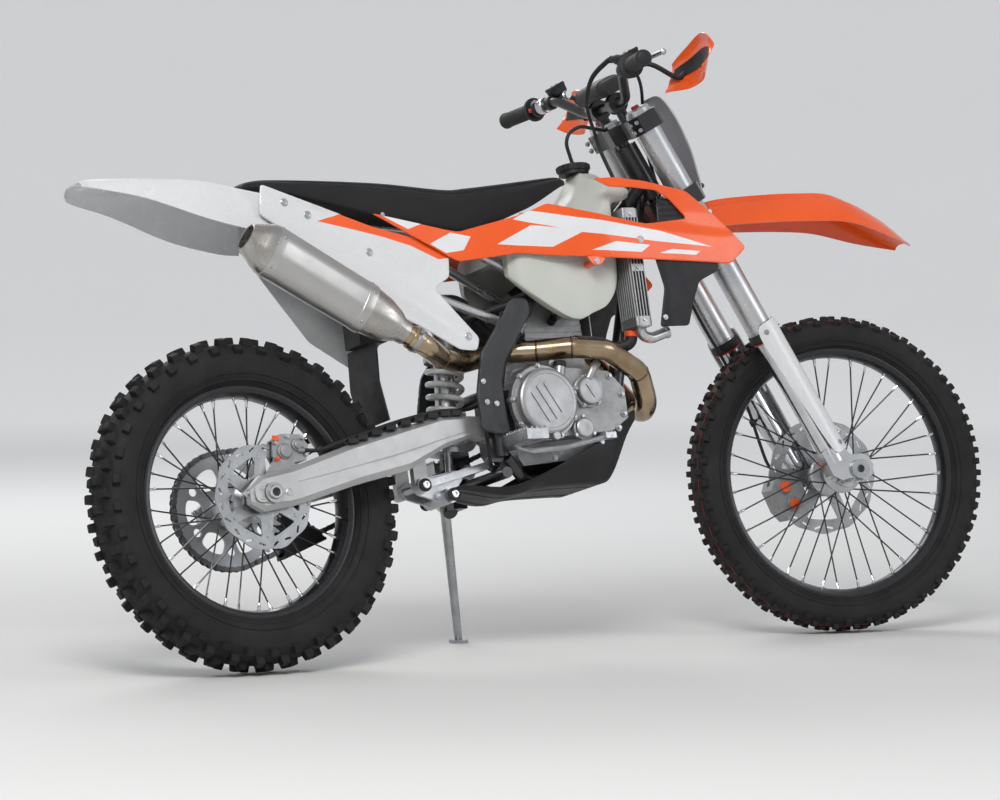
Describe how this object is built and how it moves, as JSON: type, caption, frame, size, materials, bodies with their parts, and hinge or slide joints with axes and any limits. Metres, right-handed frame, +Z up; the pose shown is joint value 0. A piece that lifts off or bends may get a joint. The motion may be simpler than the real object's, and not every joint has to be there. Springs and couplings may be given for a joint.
{
  "type": "motocross bike",
  "caption": "Off-road motorcycle on its side stand, with long travel suspension, knobby tyres, high fenders and steering, wheels and stand that turn.",
  "frame": {"origin": "on the floor, below the middle of the parked bike's outline", "axes": "+X forward, +Y to the rider's left, +Z up; the bike leans to its left onto its stand"},
  "size_m": [2.1689, 0.8358, 1.3365],
  "materials": {
    "black_paint": "satin",
    "black_plastic": "matt",
    "bright_chrome": "polished",
    "brushed_silencer": "brushed",
    "cast_aluminium": "cast, matt",
    "grey_plastic": "matt",
    "grey_steel": "brushed",
    "heated_steel": "heat tinted",
    "orange_plastic": "satin gloss",
    "seat_cover": "grained vinyl, matt",
    "silver_aluminium": "satin",
    "soft_rubber": "matt",
    "tank_plastic": "translucent",
    "tyre_rubber": "matt",
    "white_paint": "gloss",
    "white_plastic": "satin gloss"
  },
  "bodies": {
    "chassis": {"frame": "black_paint", "subframe": "silver_aluminium", "engine_case": "cast_aluminium", "cylinder_head": "cast_aluminium", "engine_covers": "cast_aluminium", "silencer": "brushed_silencer", "exhaust_header": "heated_steel", "fuel_tank": "tank_plastic", "fuel_cap": "black_plastic", "seat": "seat_cover", "shrouds": "orange_plastic", "side_panels": "white_plastic", "rear_fender": "white_plastic", "mud_flap": "black_plastic", "air_intake": "black_plastic", "radiators": "silver_aluminium", "radiator_guards": "black_plastic", "frame_guards": "grey_plastic", "skid_plate": "black_plastic", "swingarm": "silver_aluminium", "rear_axle": "grey_steel", "shock_absorber": "silver_aluminium", "shock_spring": "white_paint", "linkage": "black_paint", "rear_caliper": "cast_aluminium", "chain": "grey_steel", "front_sprocket": "grey_steel", "chain_guide": "black_plastic", "foot_controls": "grey_steel"},
    "steering": {"fork_outer_tubes": "silver_aluminium", "fork_legs": "bright_chrome", "front_axle": "grey_steel", "triple_clamps": "black_paint", "handlebar": "black_paint", "grips": "soft_rubber", "controls": "silver_aluminium", "bar_pad": "soft_rubber", "hand_guards": "orange_plastic", "front_plate": "white_plastic", "fork_guards": "white_plastic", "front_caliper": "cast_aluminium", "front_fender": "orange_plastic"},
    "front_wheel": {"front_tyre": "tyre_rubber", "front_rim": "black_paint", "front_hub": "silver_aluminium", "front_spokes": "black_paint", "front_disc": "grey_steel"},
    "rear_wheel": {"rear_tyre": "tyre_rubber", "rear_rim": "black_paint", "rear_hub": "silver_aluminium", "rear_spokes": "black_paint", "rear_disc": "grey_steel", "rear_sprocket": "grey_steel"},
    "side_stand": {"side_stand": "grey_steel"}
  },
  "joints": [
    {"name": "steering", "type": "hinge", "parent": "chassis", "child": "steering", "pos_m": [0.6875, -0.20503, 0.32165], "axis": [-0.4466, 0.2165, 0.8682], "range_deg": [-30, 54]},
    {"name": "front_wheel_spin", "type": "hinge", "parent": "steering", "child": "front_wheel", "pos_m": [0.73735, -0.21066, 0.3487], "axis": [0.1884, 0.9713, -0.1453], "continuous": true},
    {"name": "rear_wheel_spin", "type": "hinge", "parent": "chassis", "child": "rear_wheel", "pos_m": [-0.74351, -0.20082, 0.33792], "axis": [0.0001, 0.9703, -0.2419], "continuous": true},
    {"name": "side_stand_fold", "type": "hinge", "parent": "chassis", "child": "side_stand", "pos_m": [-0.17849, -0.05309, 0.30236], "axis": [0.1558, 0.9529, 0.2601], "range_deg": [0, 100]}
  ]
}
